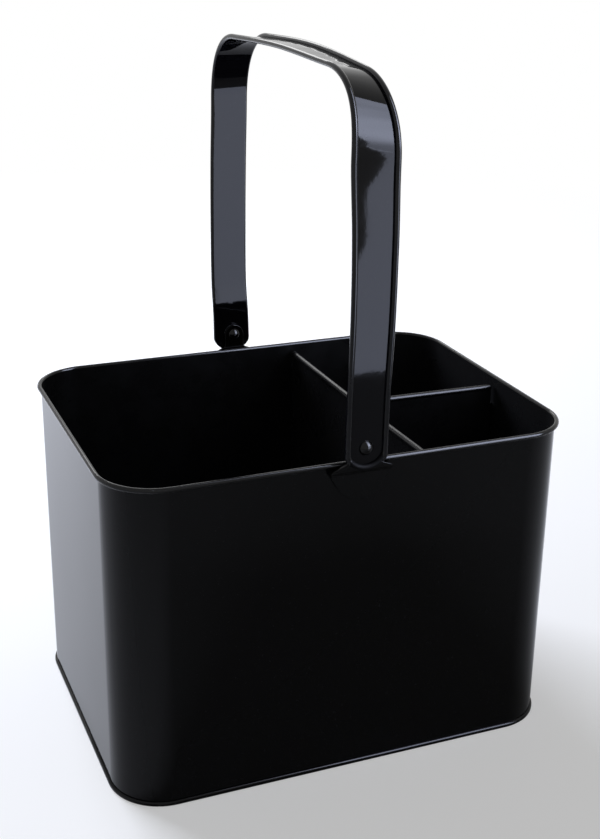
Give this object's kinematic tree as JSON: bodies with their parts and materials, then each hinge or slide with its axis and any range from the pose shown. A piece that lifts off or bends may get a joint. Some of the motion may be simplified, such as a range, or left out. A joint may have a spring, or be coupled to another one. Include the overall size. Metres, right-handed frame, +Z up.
{
  "type": "tool storage caddy",
  "caption": "Open sheet-steel caddy with rounded corners, a rolled rim, dividers that part a large compartment from smaller ones, and a strap handle that swings on riveted lugs.",
  "frame": {"origin": "on the floor under the middle of the caddy", "axes": "+X along the caddy's length, towards the two small compartments; +Y towards the back; +Z up"},
  "size_m": [0.2338, 0.186, 0.3398],
  "materials": {
    "body_enamel": "gloss black enamel on sheet steel",
    "divider_enamel": "gloss black enamel on sheet steel",
    "handle_enamel": "satin-gloss black enamel on strap steel",
    "lug_enamel": "gloss black enamel on pressed steel",
    "rivet_enamel": "gloss black enamel on a steel rivet",
    "washer_steel": "plain zinc-plated steel"
  },
  "bodies": {
    "caddy": {"body_wall": "body_enamel", "base_panel": "body_enamel", "long_divider": "divider_enamel", "cross_divider": "divider_enamel", "front_lug": "lug_enamel", "back_lug": "lug_enamel", "front_washer": "washer_steel", "back_washer": "washer_steel", "front_rivet": "rivet_enamel", "back_rivet": "rivet_enamel"},
    "handle": {"handle_strap": "handle_enamel"}
  },
  "joints": [
    {"name": "handle_swing", "type": "hinge", "parent": "caddy", "child": "handle", "pos_m": [0, 0, 0.1728], "axis": [0, 1, 0], "range_deg": [-128, 128]}
  ]
}
